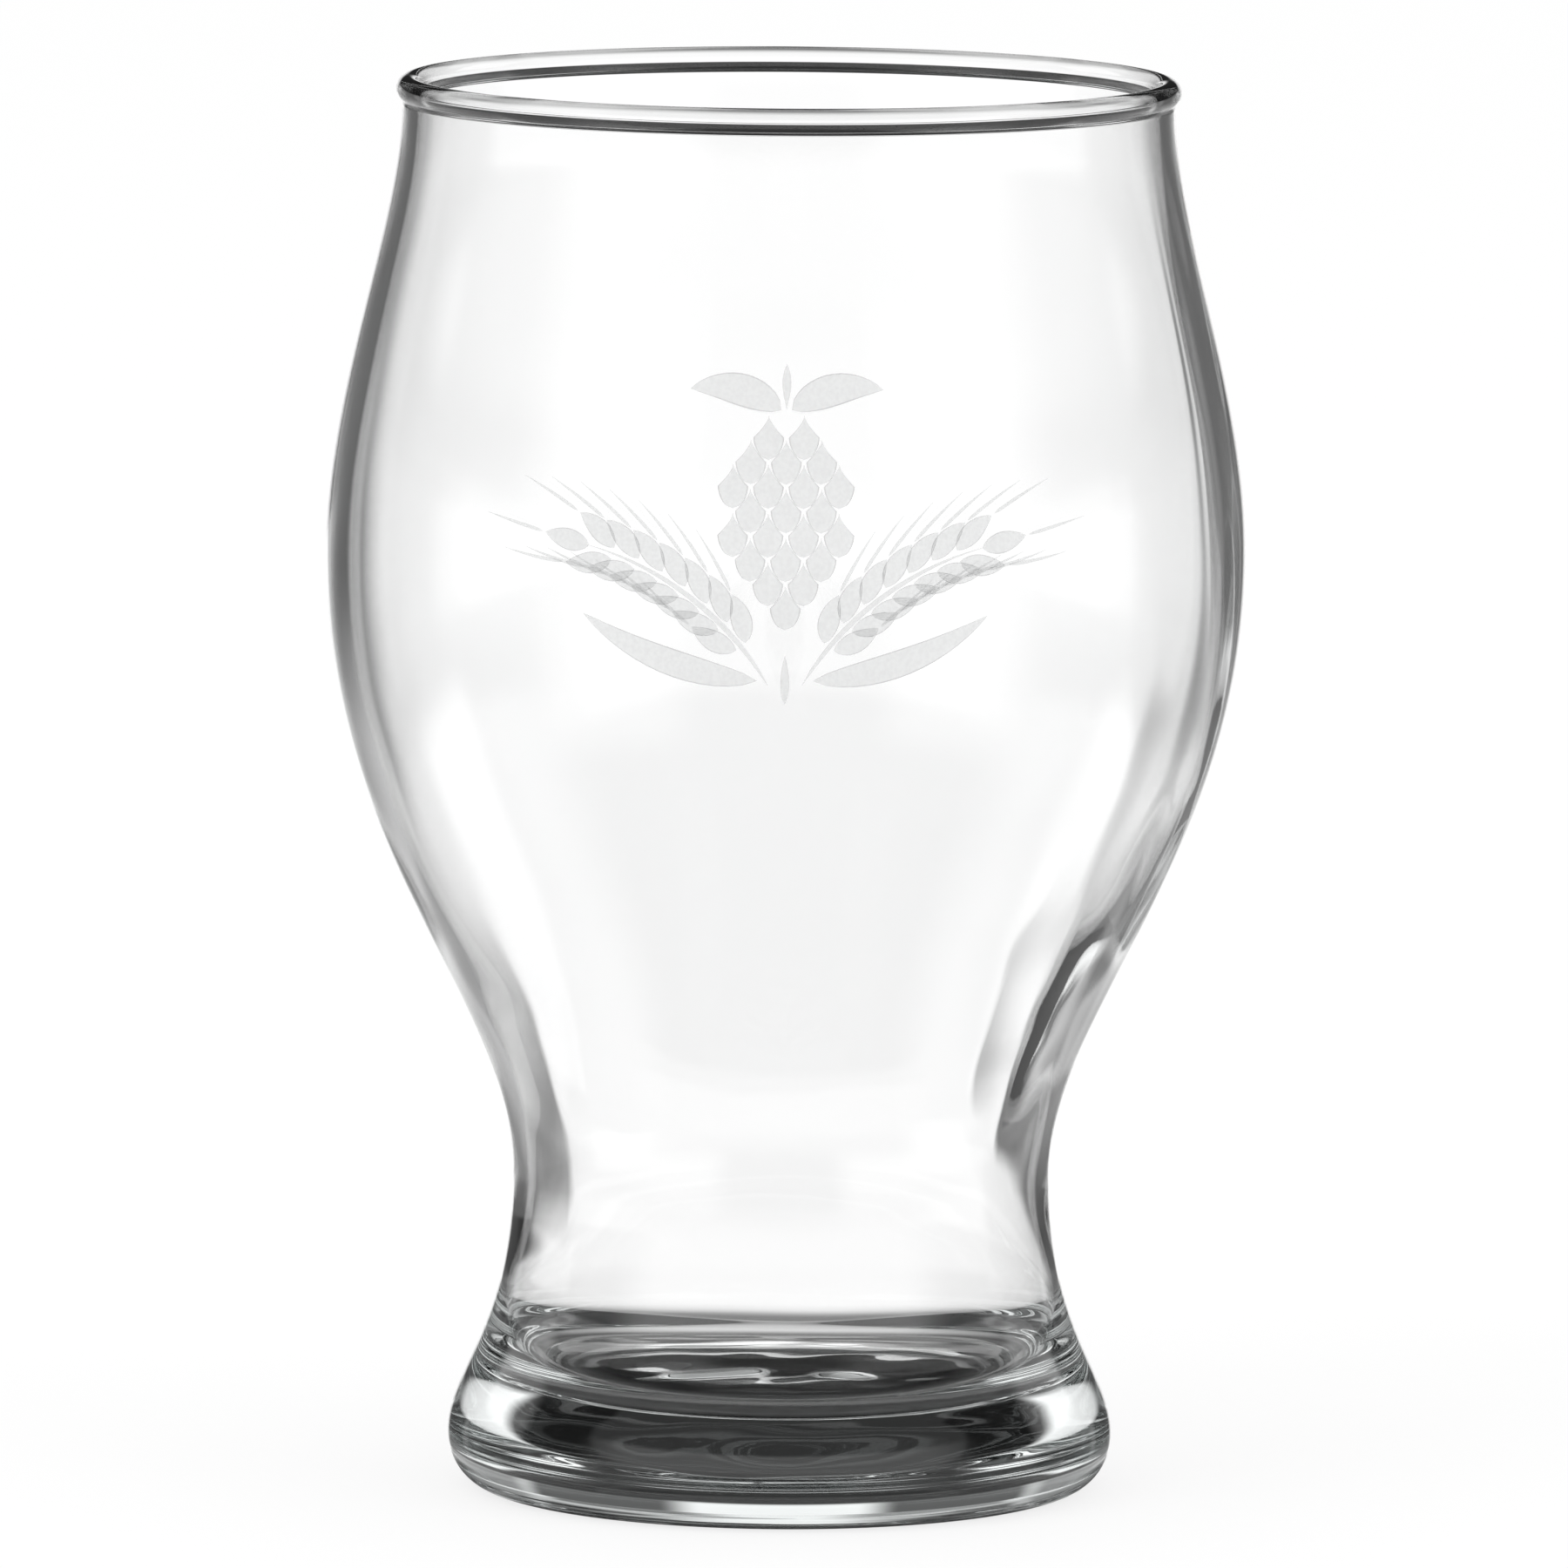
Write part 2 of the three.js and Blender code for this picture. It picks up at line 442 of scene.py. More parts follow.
def grain_and_bristle(root, turn, hand):
    """A grain and its bristle to the left (1) or the right (-1) of the stalk's way, or at its end (0)."""
    spread = GRAIN_SPREAD * hand
    shift = GRAIN_SHIFT * hand
    left = math.radians(turn + 90.0)
    base = (root[0] + shift * math.cos(left), root[1] + shift * math.sin(left))
    grain = blade(base, turn + spread, GRAIN_BEND * spread, length=4.7, width=2.0, fullness=0.85)
    (tip_x, tip_y), tip_turn, _ = grain[-1]
    lead = math.radians(tip_turn)
    tip = (tip_x + BRISTLE_GAP * math.cos(lead), tip_y + BRISTLE_GAP * math.sin(lead))
    bristle = blade(tip, tip_turn, BRISTLE_BEND * spread, length=6.5, width=0.34, fullness=0.5)
    return grain, bristle


def ear_shapes():
    """Stalk, lower leaf, grains and bristles of the right ear of barley."""
    bend = EAR_HEADINGS[1] - EAR_HEADINGS[0]
    shapes = [
        blade(EAR_ROOT, EAR_HEADINGS[0], bend, length=EAR_LENGTH, width=0.5, fullness=0.7),
        blade((2.6, -12.2), heading=4.0, bend=30.0, length=18.0, width=2.6, fullness=0.8),
    ]
    for i in range(GRAIN_PAIRS + 1):
        share = BARE_STALK + (1 - BARE_STALK) * i / GRAIN_PAIRS
        root, turn = along(EAR_ROOT, EAR_HEADINGS[0], bend, EAR_LENGTH, share)
        for hand in (1, -1) if i < GRAIN_PAIRS else (0,):
            shapes.extend(grain_and_bristle(root, turn, hand))
    return shapes


def spray_shapes():
    """All shapes of the etched spray."""
    ear = ear_shapes()
    shapes = [*ear, *(mirrored(rows) for rows in ear)]
    for row, count in enumerate(HOP_ROWS):
        for i in range(count):
            x = (i - (count - 1) / 2) * HOP_COLUMN_PITCH
            shapes.append(hop_scale(x, HOP_TOP - row * HOP_ROW_PITCH))
    tie = blade((0.0, -14.4), heading=90.0, bend=0.0, length=4.6, width=0.8, fullness=0.8)
    leaf = blade((0.5, 12.9), heading=38.0, bend=-52.0, length=9.0, width=3.0, fullness=0.8)
    stalk = blade((0.0, 12.9), heading=90.0, bend=0.0, length=4.2, width=0.8, fullness=1.3)
    shapes.extend((tie, leaf, mirrored(leaf), stalk))
    return shapes


def outer_radius(outline, height):
    """Radius of the glass's outside at a level between the waist and the neck."""
    for low, high in zip(outline, outline[1:]):
        if WAIST_HEIGHT <= low[1] <= height <= high[1]:
            share = (height - low[1]) / (high[1] - low[1])
            return low[0] + share * (high[0] - low[0])
    raise ValueError("level outside the bowl")


def spray_mesh(outline):
    """Mesh of the etched spray, laid on the front of the glass, with its rims marked for the frost."""
    shape = bmesh.new()
    rim = shape.verts.layers.float.new("rim")

    def place(x, y):
        height = SPRAY_HEIGHT + y * MILLIMETRE
        radius = outer_radius(outline, height) + FROST_LIFT
        angle = x * MILLIMETRE / radius - math.pi / 2
        return radius * math.cos(angle), radius * math.sin(angle), height

    for rows in spray_shapes():
        last = None
        for (x, y), turn, half in rows:
            side = math.radians(turn - 90.0)
            ring = []
            for across, mark in ACROSS_SHAPE:
                reach = half * across
                vertex = shape.verts.new(place(x + reach * math.cos(side), y + reach * math.sin(side)))
                vertex[rim] = mark
                ring.append(vertex)
            for i in range(len(ACROSS_SHAPE) - 1 if last else 0):
                shape.faces.new((last[i], last[i + 1], ring[i + 1], ring[i]))
            last = ring
    for face in shape.faces:
        face.normal_update()
        middle = face.calc_center_median()
        if face.normal.dot((middle.x, middle.y, 0.0)) < 0:
            face.normal_flip()
    mesh = bpy.data.meshes.new("etched_spray")
    shape.to_mesh(mesh)
    shape.free()
    mesh.polygons.foreach_set("use_smooth", [True] * len(mesh.polygons))
    return mesh


class NodeBench:
    """Adds nodes to a node tree and wires them."""

    def __init__(self, tree):
        self.tree = tree
        tree.nodes.clear()

    def add(self, kind, **settings):
        """A new node of one kind, with its settings."""
        node = self.tree.nodes.new(kind)
        for name, value in settings.items():
            setattr(node, name, value)
        return node

    def wire(self, source, target):
        """Leads an output into an input."""
        self.tree.links.new(source, target)

    def feed(self, value, target):
        """Gives an input a fixed value or another node's output."""
        if isinstance(value, bpy.types.NodeSocket):
            self.wire(value, target)
        else:
            target.default_value = value

    def math(self, operation, *values):
        """Result of one operation."""
        node = self.add("ShaderNodeMath", operation=operation)
        for value, target in zip(values, node.inputs):
            self.feed(value, target)
        return node.outputs[0]

    def product(self, first, *others):
        """Product of several values."""
        for other in others:
            first = self.math("MULTIPLY", first, other)
        return first

    def step(self, value, low, high, at_low=0.0, at_high=1.0):
        """Smooth change from one level to another while a value goes from low to high."""
        node = self.add("ShaderNodeMapRange", interpolation_type="SMOOTHSTEP")
        for source, target in zip((value, low, high, at_low, at_high), node.inputs):
            self.feed(source, target)
        return node.outputs[0]

    def mix(self, share, first, second):
        """The first value where the share is 0, the second where it is 1."""
        node = self.add("ShaderNodeMix", data_type="FLOAT")
        self.feed(share, node.inputs[0])
        self.feed(first, node.inputs[2])
        self.feed(second, node.inputs[3])
        return node.outputs[0]


# Frost: scale and detail of its grain, the noise between which it turns from dark to pale, and the shades
FROST_GRAIN = 2600.0
FROST_DETAIL = 2.0
FROST_NOISE = (0.3, 0.7)
FROST_SHADES = (0.96, 1.04)
# Marks between which the painted shade of the rims sets in, and the frost's surface
FROST_RIM = (0.3, 1.0)
FROST_ROUGHNESS = 0.85
FROST_REFRACTION = 1.3
# Painted shade under the glass, which only the glass shows: its reach, where it changes under the dome,
# greys inside and at the dome's edge, under the foot's edge and outside. Inside and under the foot's edge
# they are painted shadow; the paler ring at the dome's edge is painted light that comes through the foot
SHADE_RADIUS = 1.15 * FOOT_RADIUS
SHADE_DOME = (0.7 * DOME_RADIUS, 1.05 * DOME_RADIUS)
SHADE_DOME_GREYS = (0.06, 0.55)
SHADE_EDGE_GREY = 0.12
SHADE_OUTSIDE_GREY = 0.9


def new_material(name):
    """An empty material, the bench for its nodes, and its output."""
    material = bpy.data.materials.new(name)
    material.use_nodes = True
    bench = NodeBench(material.node_tree)
    return material, bench, bench.add("ShaderNodeOutputMaterial")


def clear_glass(settings):
    """Clear soda-lime glass, faintly tinted where it is thick."""
    material, bench, out = new_material("clear_glass")
    glass = bench.add("ShaderNodeBsdfPrincipled")
    glass.inputs["Base Color"].default_value = (1.0, 1.0, 1.0, 1.0)
    glass.inputs["Transmission Weight"].default_value = 1.0
    glass.inputs["IOR"].default_value = settings.refraction
    glass.inputs["Roughness"].default_value = settings.roughness
    tint = bench.add("ShaderNodeVolumeAbsorption")
    tint.inputs["Color"].default_value = (*settings.tint, 1.0)
    tint.inputs["Density"].default_value = settings.tint_density
    bench.wire(glass.outputs[0], out.inputs["Surface"])
    bench.wire(tint.outputs[0], out.inputs["Volume"])
    return material


def etched_frost(settings):
    """Pale sandblasted glass with darker rims of painted shade."""
    material, bench, out = new_material("etched_frost")
    frost = bench.add("ShaderNodeBsdfPrincipled")
    rim = bench.add("ShaderNodeAttribute", attribute_name="rim")
    grain = bench.add("ShaderNodeTexNoise")
    grain.inputs["Scale"].default_value = FROST_GRAIN
    grain.inputs["Detail"].default_value = FROST_DETAIL
    place = bench.add("ShaderNodeTexCoord")
    bench.wire(place.outputs["Object"], grain.inputs["Vector"])
    speckle = bench.step(grain.outputs["Fac"], *FROST_NOISE, *FROST_SHADES)
    # Painted shade along the rims of each shape
    edge = bench.step(rim.outputs["Fac"], *FROST_RIM, 1.0, settings.painted_rim_shade)
    level = bench.product(speckle, edge)
    colour = bench.add("ShaderNodeVectorMath", operation="SCALE")
    colour.inputs[0].default_value = settings.frost
    bench.wire(level, colour.inputs["Scale"])
    bench.wire(colour.outputs[0], frost.inputs["Base Color"])
    frost.inputs["Roughness"].default_value = FROST_ROUGHNESS
    frost.inputs["IOR"].default_value = FROST_REFRACTION
    frost.inputs["Alpha"].default_value = settings.frost_cover
    bench.wire(frost.outputs[0], out.inputs["Surface"])
    return material


def floor_paint(settings):
    """Pale floor that shows white, with the object's shadow kept faint."""
    material, bench, out = new_material("pale_floor")
    paint = bench.add("ShaderNodeBsdfDiffuse")
    paint.inputs["Color"].default_value = (*settings.floor_colour, 1.0)
    white = bench.add("ShaderNodeEmission")
    white.inputs["Strength"].default_value = 1.0
    path = bench.add("ShaderNodeLightPath")
    share = bench.product(path.outputs["Is Camera Ray"], settings.floor_whiteness)
    blend = bench.add("ShaderNodeMixShader")
    bench.wire(share, blend.inputs[0])
    bench.wire(paint.outputs[0], blend.inputs[1])
    bench.wire(white.outputs[0], blend.inputs[2])
    bench.wire(blend.outputs[0], out.inputs["Surface"])
    return material


def shade_paint():
    """Dark painted shade under the glass, where no light reaches the floor, and a ring of painted light."""
    material, bench, out = new_material("contact_shade")
    paint = bench.add("ShaderNodeBsdfDiffuse")
    place = bench.add("ShaderNodeTexCoord")
    reach = bench.add("ShaderNodeVectorMath", operation="LENGTH")
    bench.wire(place.outputs["Object"], reach.inputs[0])
    away = reach.outputs["Value"]
    # Painted shadow under the dome, painted light at its edge, painted shadow under the foot's edge
    level = bench.step(away, *SHADE_DOME, *SHADE_DOME_GREYS)
    level = bench.mix(bench.step(away, STANDING_RADIUS, FOOT_RADIUS), level, SHADE_EDGE_GREY)
    level = bench.mix(bench.step(away, FOOT_RADIUS, SHADE_RADIUS), level, SHADE_OUTSIDE_GREY)
    bench.wire(level, paint.inputs["Color"])
    bench.wire(paint.outputs[0], out.inputs["Surface"])
    return material


# Studio as clear glass sees it. Pairs are degrees between which the light changes: of elevation, or of turn
# from straight behind the glass to either side. Levels are brightnesses, with 1 for white.
# White table and backdrop: their edge in the middle and further out, and how the table fades below:
# a painted shadow of the glass on the table near its foot
TABLE_EDGE = (-10.0, -6.5)
OUTER_TABLE_TURN = (2.0, 13.0)
OUTER_TABLE_EDGE = (-7.6, -5.6)
OUTER_TABLE_LEVELS = (0.985, 1.09)
TABLE_FADE = (-48.0, -22.0)
SHADOWED_TABLE_LEVEL = 0.2
# Dark room beside them: turns where it begins, for two elevations, where it is full and where it ends
ROOM_LEAN = (-12.0, -6.0)
ROOM_BEGINS = (4.5, 9.0)
ROOM_FULL = 15.0
ROOM_ENDS = (42.0, 35.0)
# Its levels low down, lower still from left to right, and lowest
ROOM_LOW = (-16.0, -6.0)
ROOM_LOW_LEVEL = 0.6
ROOM_LOWER = (-16.5, -20.0)
ROOM_LEFT_TO_RIGHT = (-6.0, 6.0)
ROOM_LOWER_LEVELS = (0.33, 0.22)
ROOM_LOWEST = (-24.0, -30.0)
ROOM_LOWEST_LEVEL = 0.55
# Side walls: where they begin, where they turn from dark to white, and their levels low down and lower still
WALL_BEGINS = (35.0, 44.0)
WALL_TURN = (76.0, 84.0)
WALL_LEVELS = (0.3, 1.0)
WALL_LOW = (-16.0, -5.0)
WALL_LOW_LEVEL = 0.35
WALL_LOWER = (-17.0, -22.0)
WALL_LOWER_LEVEL = 0.92
# Dark ceiling: where it begins, and its level to the sides
CEILING_BEGINS = (2.0, 5.0)
CEILING_TURN = (23.0, 25.0)
CEILING_SIDE_LEVEL = 0.006
# Panel in the ceiling: its dim lower part, its bright upper part, and the dark grey overhead
PANEL_LOW = (36.0, 50.0)
PANEL_LOW_TURN = (45.0, 55.0)
PANEL_LOW_LEVELS = (0.55, 0.02)
PANEL_HIGH = (52.0, 57.0)
PANEL_HIGH_TURN = (50.0, 65.0)
PANEL_HIGH_LEVELS = (1.2, 0.02)
OVERHEAD = (62.0, 65.0)
OVERHEAD_LEVEL = 0.08
# Windows: upright edges, then upper and lower edges
WINDOW_TURNS = ((44.0, 51.0), (80.0, 72.0))
WINDOW_ENDS = ((36.0, 28.0), (8.0, 12.0))
# Front of the studio: where it begins, its rise from dark to white, its dark top
FRONT_TURN = (100.0, 128.0)
FRONT_RISE = (-12.0, 6.0)
FRONT_LEVELS = (0.1, 1.1)
FRONT_TOP = (20.5, 24.5)
FRONT_TOP_LEVEL = 0.05
# Pale table in front, to both sides of the camera
FRONT_TABLE_TURN = (160.0, 144.0)
FRONT_TABLE_ENDS = ((-32.0, -24.0), (-1.0, -8.0))
FRONT_TABLE_LEVEL = 0.75


def light_below(bench, settings, azimuth, side, elevation):
    """Light of the table, the backdrop, the dark room and the side walls."""
    table = bench.step(elevation, *TABLE_EDGE, settings.table_level, settings.backdrop_level)
    outer_table = bench.step(elevation, *OUTER_TABLE_EDGE, *OUTER_TABLE_LEVELS)
    table = bench.mix(bench.step(side, *OUTER_TABLE_TURN), table, outer_table)
    # Painted shadow of the glass on the table, where the table is seen steeply below
    table = bench.product(table, bench.step(elevation, *TABLE_FADE, SHADOWED_TABLE_LEVEL, 1.0))
    room = bench.step(elevation, *ROOM_LOW, ROOM_LOW_LEVEL, settings.room_level)
    lower_room = bench.step(azimuth, *ROOM_LEFT_TO_RIGHT, *ROOM_LOWER_LEVELS)
    room = bench.mix(bench.step(elevation, *ROOM_LOWER), room, lower_room)
    room = bench.mix(bench.step(elevation, *ROOM_LOWEST), room, ROOM_LOWEST_LEVEL)
    room_begins = bench.step(elevation, *ROOM_LEAN, *ROOM_BEGINS)
    room_share = bench.product(bench.step(side, room_begins, ROOM_FULL), bench.step(side, *ROOM_ENDS))
    wall = bench.step(side, *WALL_TURN, *WALL_LEVELS)
    wall = bench.mix(bench.step(elevation, *WALL_LOW), WALL_LOW_LEVEL, wall)
    wall = bench.mix(bench.step(elevation, *WALL_LOWER), wall, WALL_LOWER_LEVEL)
    middle = bench.mix(room_share, table, room)
    return bench.mix(bench.step(side, *WALL_BEGINS), middle, wall)


def light_above(bench, settings, side, elevation):
    """Light of the dark ceiling, its panel and the two windows."""
    ceiling = bench.step(side, *CEILING_TURN, settings.ceiling_level, CEILING_SIDE_LEVEL)
    low_panel = bench.step(side, *PANEL_LOW_TURN, *PANEL_LOW_LEVELS)
    ceiling = bench.mix(bench.step(elevation, *PANEL_LOW), ceiling, low_panel)
    high_panel = bench.step(side, *PANEL_HIGH_TURN, *PANEL_HIGH_LEVELS)
    ceiling = bench.mix(bench.step(elevation, *PANEL_HIGH), ceiling, high_panel)
    ceiling = bench.mix(bench.step(elevation, *OVERHEAD), ceiling, OVERHEAD_LEVEL)
    window = bench.product(
        *(bench.step(side, *edge) for edge in WINDOW_TURNS),
        *(bench.step(elevation, *edge) for edge in WINDOW_ENDS),
    )
    return bench.mix(window, ceiling, settings.window_level)


def light_in_front(bench, side, elevation):
    """Light of the camera's side of the studio."""
    front = bench.step(elevation, *FRONT_RISE, *FRONT_LEVELS)
    front = bench.mix(bench.step(elevation, *FRONT_TOP), front, FRONT_TOP_LEVEL)
    table = bench.product(
        bench.step(side, *FRONT_TABLE_TURN),
        *(bench.step(elevation, *edge) for edge in FRONT_TABLE_ENDS),
    )
    return bench.mix(table, front, FRONT_TABLE_LEVEL)


def studio_world(settings):
    """World that is plain white to the camera and to matt surfaces, and a studio to clear glass."""
    world = bpy.data.worlds.new("studio")
    world.use_nodes = True
    bench = NodeBench(world.node_tree)
    out = bench.add("ShaderNodeOutputWorld")
    path = bench.add("ShaderNodeLightPath")
    place = bench.add("ShaderNodeTexCoord")
    split = bench.add("ShaderNodeSeparateXYZ")
    bench.wire(place.outputs["Generated"], split.inputs[0])
    x, y, z = split.outputs
    elevation = bench.math("DEGREES", bench.math("ARCSINE", z))
    azimuth = bench.math("DEGREES", bench.math("ARCTAN2", x, y))
    side = bench.math("ABSOLUTE", azimuth)

    below = light_below(bench, settings, azimuth, side, elevation)
    above = light_above(bench, settings, side, elevation)
    behind = bench.mix(bench.step(elevation, *CEILING_BEGINS), below, above)
    front = light_in_front(bench, side, elevation)
    seen = bench.mix(bench.step(side, *FRONT_TURN), behind, front)

    shown = bench.math("MAXIMUM", path.outputs["Is Glossy Ray"], path.outputs["Is Transmission Ray"])
    bright = bench.mix(shown, settings.world_level, seen)
    strength = bench.mix(path.outputs["Is Camera Ray"], bright, 1.0)
    light = bench.add("ShaderNodeBackground")
    light.inputs["Color"].default_value = (1.0, 1.0, 1.0, 1.0)
    bench.wire(strength, light.inputs["Strength"])
    bench.wire(light.outputs[0], out.inputs["Surface"])
    return world


# Discs of the stage: facets, the floor's radius, and how far the floor and the shade lie below the glass
DISC_SEGMENTS = 96
STAGE_RADIUS = 4.0
FLOOR_DROP = 0.02 * MILLIMETRE
SHADE_DROP = 0.01 * MILLIMETRE
# Lamps: name, place, power; and the width of each
LAMPS = (
    ("key", (-0.9, -0.9, 1.3), 6.0),
    ("fill", (1.1, -0.7, 1.0), 3.5),
)
LAMP_WIDTH = 0.9
# How far the camera sees, and how often light may bounce
CAMERA_REACH = 30.0
LIGHT_BOUNCES = 32
GLOSSY_BOUNCES = 16


def link(thing):
    """Puts an object into the scene."""
    bpy.context.scene.collection.objects.link(thing)
    return thing


def level_disc(name, radius, drop, material):
    """A level disc, a little below the face that the glass stands on."""
    shape = bmesh.new()
    bmesh.ops.create_circle(shape, cap_ends=True, segments=DISC_SEGMENTS, radius=radius)
    mesh = bpy.data.meshes.new(name)
    shape.to_mesh(mesh)
    shape.free()
    mesh.materials.append(material)
    disc = link(bpy.data.objects.new(name, mesh))
    disc.location.z = -drop
    return disc


class GlassShape(bpy.types.PropertyGroup):
    """Form of the glass that the frame leaves open."""

    segments: IntProperty(name="Segments", description="Facets round the glass", default=240, min=24)
    steps: IntProperty(name="Steps", description="Facets along each sweep of the outline", default=32, min=8)
    wall_waves: FloatProperty(
        name="Wall waves", description="Height of the waves inside the wall",
        default=0.05 * MILLIMETRE, unit="LENGTH", precision=5,
    )
    streaks: FloatProperty(
        name="Streaks", description="Height of the upright streaks inside the right wall",
        default=0.1 * MILLIMETRE, unit="LENGTH", precision=5,
    )
    pads: FloatProperty(
        name="Pads", description="Height of the thick pads inside the lower bowl",
        default=0.22 * MILLIMETRE, unit="LENGTH", precision=5,
    )
    floor_ripples: FloatProperty(
        name="Floor ripples", description="Height of the ripples in the inner floor",
        default=0.1 * MILLIMETRE, unit="LENGTH", precision=5,
    )
    floor_dome: FloatProperty(
        name="Floor dome", description="Rise of the inner floor towards its middle",
        default=1.0 * MILLIMETRE, unit="LENGTH", precision=5,
    )
    underside_waves: FloatProperty(
        name="Underside waves", description="Height of the waves in the domed underside",
        default=0.1 * MILLIMETRE, unit="LENGTH", precision=5,
    )


class GlassFinish(bpy.types.PropertyGroup):
    """Finish of the clear and the etched glass."""

    refraction: FloatProperty(name="Refraction", description="Index of refraction", default=1.52)
    roughness: FloatProperty(name="Roughness", description="Roughness of the fire polish", default=0.0)
    tint: FloatVectorProperty(
        name="Tint", description="Colour that thick glass takes",
        default=(0.815, 0.875, 0.865), subtype="COLOR",
    )
    frost: FloatVectorProperty(
        name="Frost", description="Colour of the etched spray",
        default=(0.6, 0.605, 0.605), subtype="COLOR",
    )
    frost_cover: FloatProperty(
        name="Frost cover", description="How far the frost hides the glass", default=0.62,
    )
    # Painted shade that darkens the frost's rims
    painted_rim_shade: FloatProperty(name="Rim shade", description="Shade of the frost's rims", default=0.55)
    tint_density: FloatProperty(name="Tint density", description="Absorption per metre", default=8.0)


class GlassStudio(bpy.types.PropertyGroup):
    """Floor, light and camera."""

    floor_colour: FloatVectorProperty(
        name="Floor", description="Colour of the floor", default=(0.95, 0.95, 0.95), subtype="COLOR",
    )
    floor_whiteness: FloatProperty(
        name="Floor whiteness", description="Share of plain white in the floor that the camera sees",
        default=0.8,
    )
    world_level: FloatProperty(
        name="World light", description="Strength of the light all round", default=1.0,
    )
    backdrop_level: FloatProperty(
        name="Backdrop", description="Brightness of the white backdrop", default=1.065,
    )
    table_level: FloatProperty(name="Table", description="Brightness of the white table", default=1.04)
    room_level: FloatProperty(
        name="Room", description="Brightness of the dark room beside the backdrop", default=0.13,
    )
    ceiling_level: FloatProperty(name="Ceiling", description="Brightness of the dark ceiling", default=0.03)
    window_level: FloatProperty(name="Windows", description="Brightness of the windows", default=1.2)
    camera_distance: FloatProperty(
        name="Camera distance", description="Distance from the glass's axis", default=1.7078, unit="LENGTH",
    )
    camera_height: FloatProperty(
        name="Camera height", description="Height above the floor", default=0.2754, unit="LENGTH",
    )
    camera_pitch: FloatProperty(
        name="Camera pitch", description="Angle below the horizon", default=0.1212, subtype="ANGLE",
    )
    camera_roll: FloatProperty(
        name="Camera roll", description="Lean of the frame", default=0.0073, subtype="ANGLE",
    )


class GLASS_OT_body(bpy.types.Operator):
    """Make the glass itself, one seamless piece"""

    bl_idname = "pilsner.glass_body"
    bl_label = "Glass"

    def execute(self, context):
        shape = context.scene.glass_shape
        outside = outside_outline(shape.steps)
        lip = chain(*lip_arcs(shape.steps))
        inside = inside_outline(shape.steps)
        outline = chain(outside, lip, inside)
        mesh = turn_outline("glass", outline, len(outside) + len(lip), shape)
        glass = link(bpy.data.objects.new("glass", mesh))
        mesh.materials.append(clear_glass(context.scene.glass_finish))
        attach(glass, "root")
        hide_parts("foot", "lower_bowl", "upper_bowl", "lip")
        return {"FINISHED"}


class GLASS_OT_spray(bpy.types.Operator):
    """Etch the spray of hops and barley on the front of the bowl"""

    bl_idname = "pilsner.etched_spray"
    bl_label = "Etched spray"

    def execute(self, context):
        mesh = spray_mesh(outside_outline(4 * context.scene.glass_shape.steps))
        mesh.materials.append(etched_frost(context.scene.glass_finish))
        spray = link(bpy.data.objects.new("etched_spray", mesh))
        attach(spray, "root")
        return {"FINISHED"}


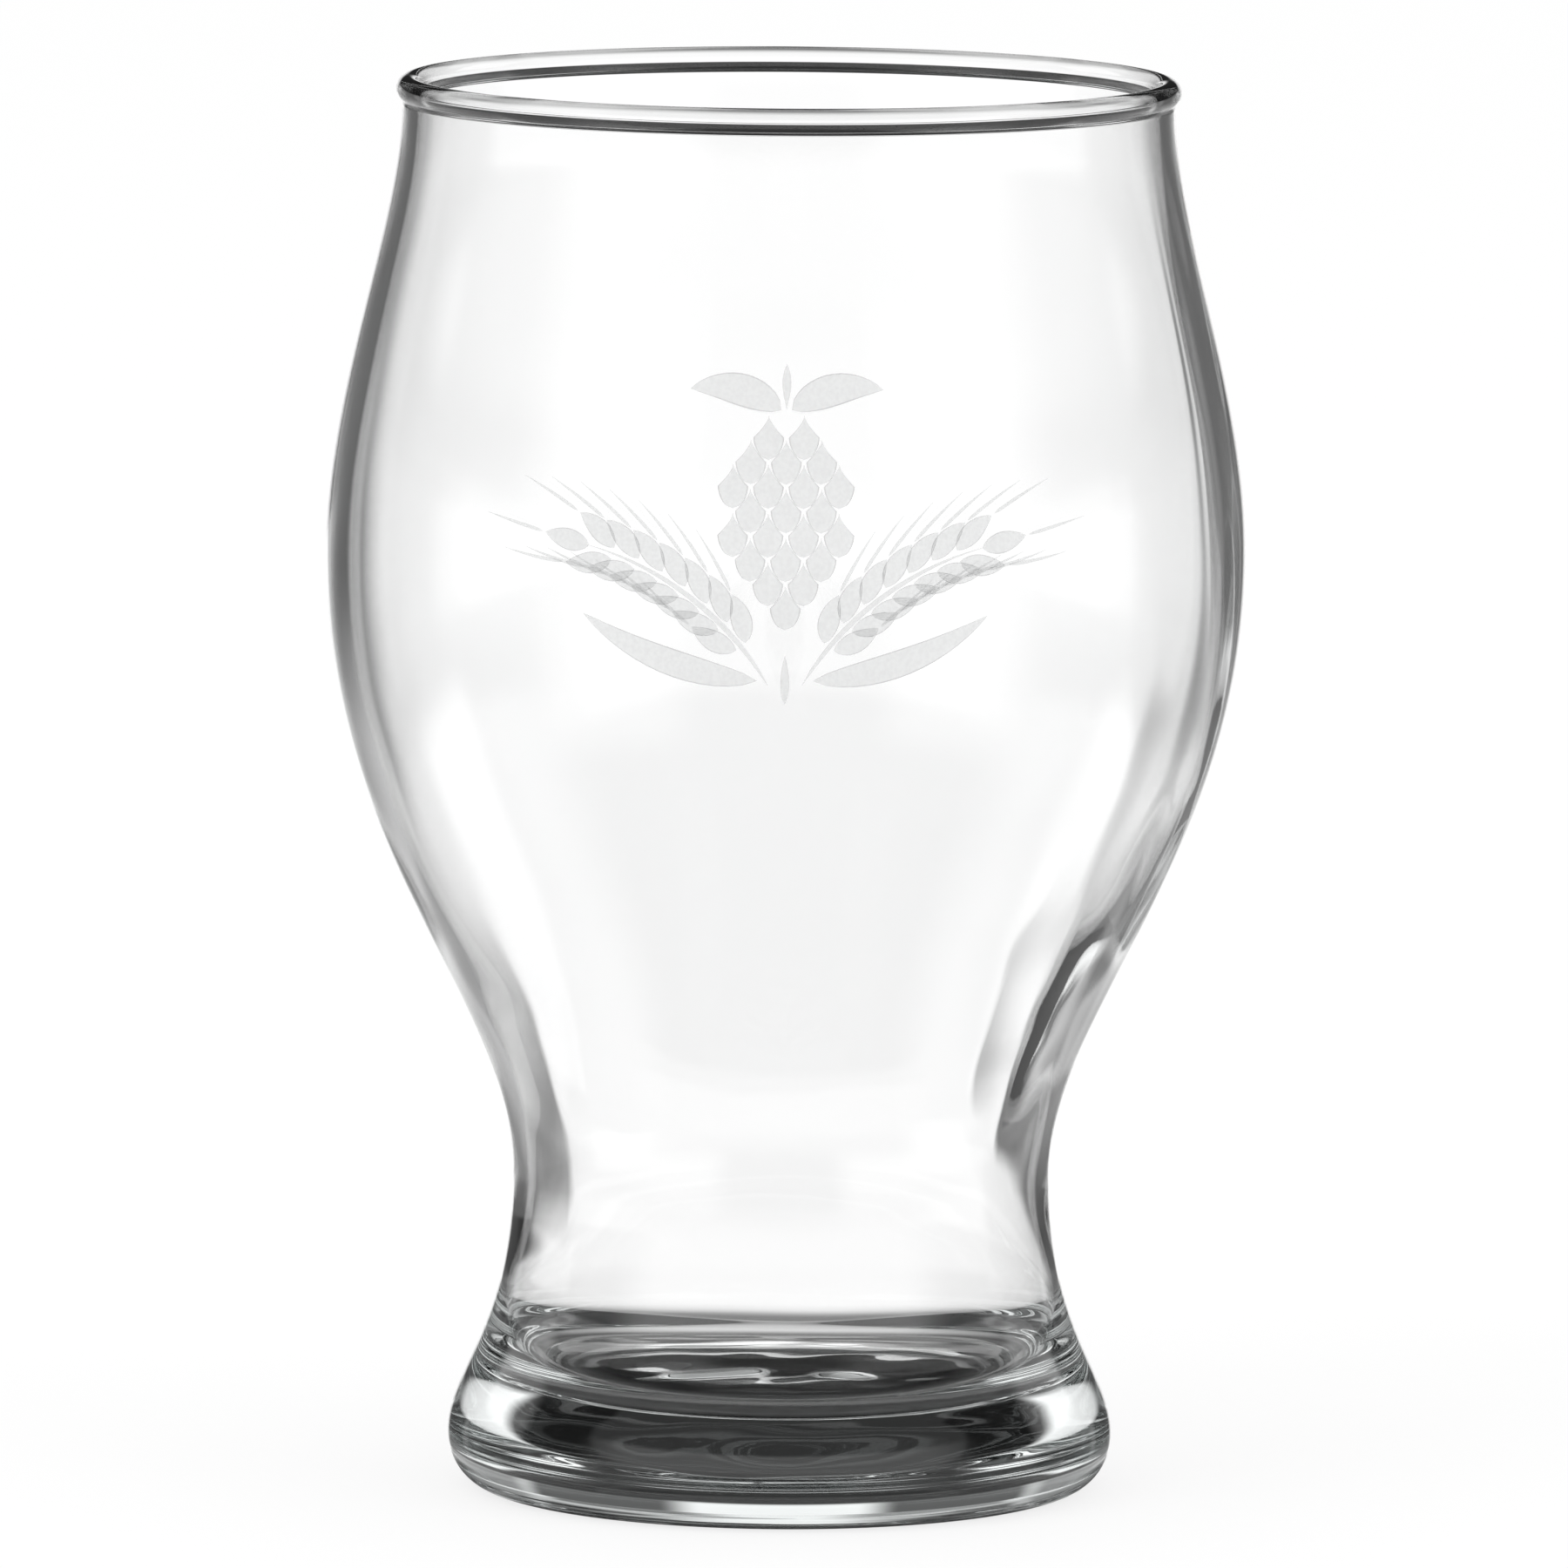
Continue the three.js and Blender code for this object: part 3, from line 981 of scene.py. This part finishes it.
class GLASS_OT_studio(bpy.types.Operator):
    """Make the floor, the light and the camera"""

    bl_idname = "pilsner.studio"
    bl_label = "Studio"

    def execute(self, context):
        studio = context.scene.glass_studio
        self.make_floor(studio)
        self.make_lamps()
        self.make_camera(context, studio)
        context.scene.world = studio_world(studio)
        context.scene.view_settings.view_transform = "Standard"
        context.scene.cycles.max_bounces = LIGHT_BOUNCES
        context.scene.cycles.transmission_bounces = LIGHT_BOUNCES
        context.scene.cycles.glossy_bounces = GLOSSY_BOUNCES
        return {"FINISHED"}

    def make_floor(self, studio):
        """Floor that the glass doesn't show, and the disc of painted shade that only the glass shows."""
        floor = level_disc("floor", STAGE_RADIUS, FLOOR_DROP, floor_paint(studio))
        floor.visible_transmission = False
        floor.visible_glossy = False
        shade = level_disc("contact_shade", SHADE_RADIUS, SHADE_DROP, shade_paint())
        shade.visible_camera = False
        shade.visible_diffuse = False
        shade.visible_shadow = False

    def make_lamps(self):
        """Weak lamps to both sides of the camera, which the glass doesn't show."""
        for name, place, power in LAMPS:
            data = bpy.data.lights.new(name, "AREA")
            data.energy = power
            data.size = LAMP_WIDTH
            lamp = link(bpy.data.objects.new(name, data))
            lamp.location = place
            lamp.rotation_euler = (-Vector(place)).to_track_quat("-Z", "Y").to_euler()
            lamp.visible_glossy = False
            lamp.visible_transmission = False

    def make_camera(self, context, studio):
        """Camera of the photograph."""
        data = bpy.data.cameras.new("camera")
        data.sensor_width = SENSOR_WIDTH
        data.lens = SENSOR_WIDTH * FOCAL_PIXELS / IMAGE_SIZE
        data.clip_end = CAMERA_REACH
        camera = link(bpy.data.objects.new("camera", data))
        tilt = Matrix.Rotation(math.pi / 2 - studio.camera_pitch, 4, "X")
        roll = Matrix.Rotation(studio.camera_roll, 4, "Z")
        place = Matrix.Translation((0.0, -studio.camera_distance, studio.camera_height))
        camera.matrix_world = place @ tilt @ roll
        context.scene.camera = camera


class GLASS_PT_panel(bpy.types.Panel):
    """Panel with the glass's settings and makers"""

    bl_idname = "GLASS_PT_panel"
    bl_label = "Pilsner Glass"
    bl_space_type = "VIEW_3D"
    bl_region_type = "UI"
    bl_category = "Glass"

    def draw(self, context):
        for group in (context.scene.glass_shape, context.scene.glass_finish, context.scene.glass_studio):
            box = self.layout.box()
            for name in group.__annotations__:
                box.prop(group, name)
        for maker in MAKERS:
            self.layout.operator(maker.bl_idname)


GROUPS = {"glass_shape": GlassShape, "glass_finish": GlassFinish, "glass_studio": GlassStudio}
MAKERS = (GLASS_OT_body, GLASS_OT_spray, GLASS_OT_studio)
CLASSES = (*GROUPS.values(), *MAKERS, GLASS_PT_panel)


def register():
    """Adds the classes to Blender, and their settings to the scene."""
    for cls in CLASSES:
        bpy.utils.register_class(cls)
    for name, group in GROUPS.items():
        setattr(bpy.types.Scene, name, PointerProperty(type=group))


def unregister():
    """Takes away what register added."""
    for name in GROUPS:
        delattr(bpy.types.Scene, name)
    for cls in reversed(CLASSES):
        bpy.utils.unregister_class(cls)


def main():
    """Makes the glass and its studio."""
    register()
    bpy.ops.pilsner.glass_body()
    bpy.ops.pilsner.etched_spray()
    bpy.ops.pilsner.studio()
    bpy.context.view_layer.update()


if __name__ == "__main__":
    main()
